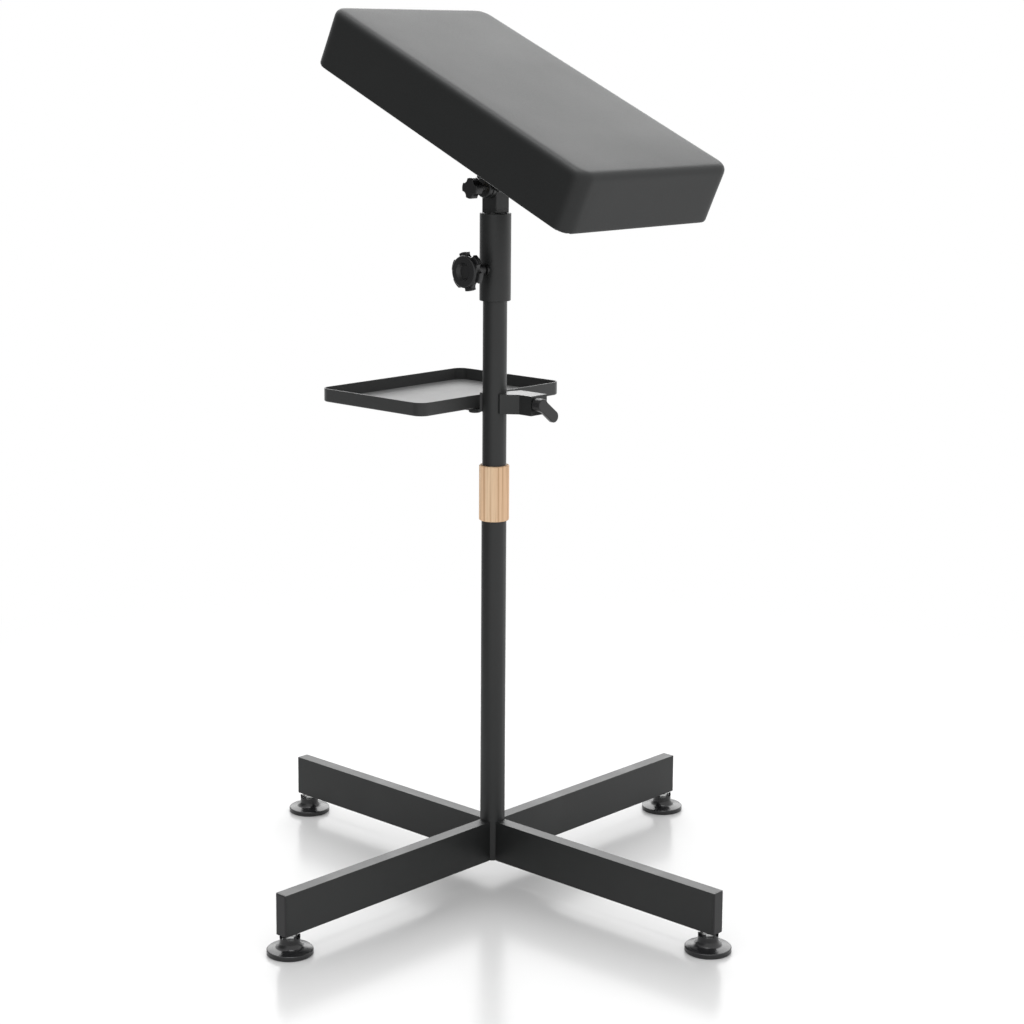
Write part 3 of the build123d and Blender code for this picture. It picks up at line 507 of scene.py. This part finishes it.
def make_recess(pad):
    """Cuts the space for the board and the opening that the dust cover closes."""
    lip = 24 * millimetre
    lip_depth = 1.2 * millimetre
    wall = 3.7 * millimetre
    board_room = 12.3 * millimetre
    board_top = pad_rise + lip_depth + board_room
    under = 5 * millimetre
    opening = box_piece(
        "opening",
        (pad_shift - pad_length / 2 + lip, lip - pad_width / 2, pad_rise - under),
        (pad_shift + pad_length / 2 - lip, pad_width / 2 - lip, pad_rise + under))
    cavity = box_piece(
        "cavity",
        (pad_shift - pad_length / 2 + wall, wall - pad_width / 2, pad_rise + lip_depth),
        (pad_shift + pad_length / 2 - wall, pad_width / 2 - wall, board_top))
    round_edges(cavity, lambda a, b: abs(a.z - b.z) > lip_depth, pad_corner - wall, 6)
    for cutter in (opening, cavity):
        applied(pad, "BOOLEAN", operation="DIFFERENCE", solver="EXACT", object=cutter)
        bpy.data.objects.remove(cutter)


pad = make_cushion()
gather_corners(pad)
make_recess(pad)
pad.data.transform(tilted)
pick(pad)
bpy.ops.object.shade_smooth_by_angle(angle=radians(40))
fitted(pad, "armrest", "black_leatherette", leatherette(), "cushion")


# Dust cover
# A thin black non-woven cloth, stretched over the board's underside inside the folded hem.
def nonwoven_cloth():
    finish = Finish("black_nonwoven_cloth", {"Specular IOR Level": 0.2})
    fibres = finish.speckle(1400.0, 5.0)
    finish.paint({
        "Base Color": finish.between(fibres, (0.010, 0.010, 0.011, 1), (0.03, 0.03, 0.031, 1)),
        "Roughness": 0.85 + 0.1 * fibres,
        "Normal": finish.relief(fibres, 0.0001),
    })
    return finish.material


def make_dust_cover():
    lip = 24.5 * millimetre
    thickness = 0.5 * millimetre
    ripple = 0.22 * millimetre
    ripples_per_metre = 22.0
    recess = 0.6 * millimetre
    level = pad_rise + recess
    length = pad_length - 2 * lip
    width = pad_width - 2 * lip
    pick()
    bpy.ops.mesh.primitive_grid_add(x_subdivisions=82, y_subdivisions=44, size=1,
                                    location=(pad_shift, 0, level))
    cloth = bpy.context.object
    cloth.name = "underside_cloth"
    cloth.scale = (length, width, 1)
    bpy.ops.object.transform_apply(location=True, rotation=True, scale=True)
    for corner in cloth.data.vertices:
        corner.co.z += ripple * noise.noise(corner.co * ripples_per_metre)
    applied(cloth, "SOLIDIFY", thickness=thickness, offset=0.0)
    cloth.data.transform(tilted)
    pick(cloth)
    bpy.ops.object.shade_smooth_by_angle(angle=radians(50))
    fitted(cloth, "armrest", "dust_cloth", nonwoven_cloth(), "dust_cover")


make_dust_cover()


# Staples
# Flat zinc wire staples hold the hem of the leatherette to the board. They follow its edge one by
# one as the gun went round, so no two lie at quite the same angle.
def make_staples():
    crown = 10 * millimetre
    wire = 1.1 * millimetre
    thickness = 0.6 * millimetre
    leg = 5 * millimetre
    worn_edge = 0.15 * millimetre
    inset = 15 * millimetre
    pitch = 26 * millimetre
    lift = 0.1 * millimetre
    skew = radians(9)
    unevenness = 90.0
    staple = box_piece("staple", (-crown / 2, -wire / 2, -thickness), (crown / 2, wire / 2, 0))
    for side in (-1, 1):
        inner, outer = sorted((side * (crown / 2 - thickness), side * crown / 2))
        prong = box_piece("prong", (inner, -wire / 2, 0), (outer, wire / 2, leg))
        pick(staple)
        prong.select_set(True)
        bpy.ops.object.join()
    pick(staple)
    bpy.ops.object.mode_set(mode="EDIT")
    bpy.ops.mesh.select_all(action="SELECT")
    bpy.ops.mesh.remove_doubles(threshold=0.01 * millimetre)
    bpy.ops.object.mode_set(mode="OBJECT")
    applied(staple, "BEVEL", width=worn_edge, segments=1, limit_method="ANGLE")
    reach = Vector((pad_length / 2 - inset, pad_width / 2 - inset))
    row = []
    for axis in (0, 1):
        count = int(2 * (reach[axis] - pad_corner) / pitch)
        for side in (-1, 1):
            for number in range(count + 1):
                run = (number - count / 2) * pitch
                spot = (run, side * reach.y) if axis == 0 else (side * reach.x, run)
                row.append((spot, axis * pi / 2))
    pieces = []
    for spot, turn in row:
        place = Vector((spot[0] + pad_shift, spot[1], pad_rise - cover_thickness - lift))
        piece = staple.copy()
        piece.data = staple.data.copy()
        bpy.context.scene.collection.objects.link(piece)
        piece.data.transform(Matrix.Translation(place)
                             @ Matrix.Rotation(turn + skew * noise.noise(place * unevenness), 4, "Z"))
        pieces.append(piece)
    bpy.data.objects.remove(staple)
    pick(pieces[0])
    for piece in pieces:
        piece.select_set(True)
    bpy.ops.object.join()
    staples = bpy.context.object
    staples.name = "hem_staples"
    staples.data.transform(tilted)
    fitted(staples, "armrest", "zinc_plated_steel", bright_zinc)


make_staples()


# Instrument tray
# One folded and corner-welded sheet, riveted to the clamp's tongue. Its powder has a fine dry
# texture that instruments don't slide on, and it catches a pale sheen where it is seen edge on.
eased("tray", "tray_sheet", 0.35 * millimetre, "tray_carrier", "black_steel",
      powder_coat("textured_black_powder_coat", 0.5, 0.45))
carried("tray_rivets", black_steel)


# Tray clamp and its lever
# The clamp is a cast ring, open at the front, with a lug for the lever screw. A plastic liner
# spares the post, and a brass shoe passes the screw's push to it.
eased("clamp_body", "clamp_ring", 0.5 * millimetre, "tray_carrier", "black_steel", black_steel)
carried("clamp_liner", black_plastic)
carried("clamp_shoe", brass)
carried("lever_screw", bright_zinc)
eased("clamp_lever", "lever_handle", 0.4 * millimetre, "tray_lever", "black_plastic", black_plastic,
      radians(35))


# Studio
# A white floor that takes a soft shadow and a faint blurred reflection, plain soft light from
# above and behind, and the camera at the viewpoint of the product picture.
def surroundings(graph, direction):
    """What gloss sees of the room: white walls and floor, but a dark grey curtain on the camera's left."""
    right = (0.707, 0.707, 0.0)
    curtain = 0.26
    walls_over_curtain = 0.92
    across = graph.node("ShaderNodeVectorMath", {"operation": "DOT_PRODUCT"},
                        {0: direction, 1: right}, "Value")
    return curtain + walls_over_curtain * graph.step(across, -0.9, -0.4)


def studio_floor():
    shadow_reach = 0.45
    white_from = 1.3
    polish = 0.1
    pick()
    bpy.ops.mesh.primitive_plane_add(size=60)
    floor = bpy.context.object
    floor.name = "studio_floor"
    material = bpy.data.materials.new("studio_floor")
    material.use_nodes = True
    material.node_tree.nodes.clear()
    graph = Graph(material.node_tree)
    seen = graph.node("ShaderNodeLightPath", {}, {}, "Is Camera Ray")
    gloss_ray = graph.node("ShaderNodeLightPath", {}, {}, "Is Glossy Ray")
    place = graph.node("ShaderNodeTexCoord", {}, {}, "Object")
    radius = graph.node("ShaderNodeVectorMath", {"operation": "LENGTH"}, {0: place}, "Value")
    away = graph.step(radius, shadow_reach, white_from)
    outward = graph.node("ShaderNodeVectorMath", {"operation": "NORMALIZE"}, {0: place})
    matt = graph.node("ShaderNodeBsdfDiffuse", {}, {"Color": (0.72, 0.72, 0.72, 1)})
    gloss = graph.node("ShaderNodeBsdfGlossy", {}, {"Roughness": 0.2})
    glow = seen + gloss_ray * surroundings(graph, outward)
    white = graph.node("ShaderNodeEmission", {}, {"Strength": glow})
    polished = graph.node("ShaderNodeMixShader", {}, {0: polish, 1: matt, 2: gloss})
    surface = graph.node("ShaderNodeMixShader", {}, {0: (seen + gloss_ray) * away, 1: polished, 2: white})
    graph.node("ShaderNodeOutputMaterial", {}, {"Surface": surface})
    floor.data.materials.append(material)


def studio_sky():
    fill = 0.84
    world = bpy.data.worlds.new("studio_sky")
    bpy.context.scene.world = world
    world.use_nodes = True
    graph = Graph(world.node_tree)
    direction = graph.node("ShaderNodeTexCoord", {}, {}, "Generated")
    seen = graph.node("ShaderNodeLightPath", {}, {}, "Is Camera Ray")
    through = graph.node("ShaderNodeLightPath", {}, {}, "Is Transmission Ray")
    gloss = graph.node("ShaderNodeLightPath", {}, {}, "Is Glossy Ray")
    backdrop = seen + (1 - seen) * through
    strength = backdrop + (1 - backdrop) * (gloss * surroundings(graph, direction) + (1 - gloss) * fill)
    graph.feed(world.node_tree.nodes["Background"], {"Color": (1, 1, 1, 1), "Strength": strength})


def soft_lamp(name, place, aim, size, radiance):
    """A rectangular softbox. Its face is as bright as radiance, where 1 is white."""
    pick()
    bpy.ops.object.light_add(type="AREA", location=place)
    lamp = bpy.context.object
    lamp.name = name
    lamp.rotation_euler = (Vector(aim) - Vector(place)).to_track_quat("-Z", "Y").to_euler()
    lamp.data.shape = "RECTANGLE"
    lamp.data.size, lamp.data.size_y = size
    lamp.data.energy = radiance * pi * size[0] * size[1]


studio_floor()
studio_sky()
soft_lamp("back_softbox", (-2.3, 2.8, 2.4), (0, 0, 0.6), (3.6, 3.2), 2.5)
soft_lamp("overhead_softbox", (0, 0, 3.2), (0, 0, 0), (1.6, 1.6), 3.6)

viewpoint = (1.5566, -1.6761, 0.8873)
aim = (radians(80.672), radians(-0.154), radians(43.794))
bpy.ops.object.camera_add(location=viewpoint, rotation=aim)
camera = bpy.context.object
camera.data.sensor_width = 36
camera.data.lens = 77.68
camera.data.shift_x = 0.05
camera.data.shift_y = -0.1
bpy.context.scene.camera = camera
bpy.context.scene.view_settings.view_transform = "Standard"
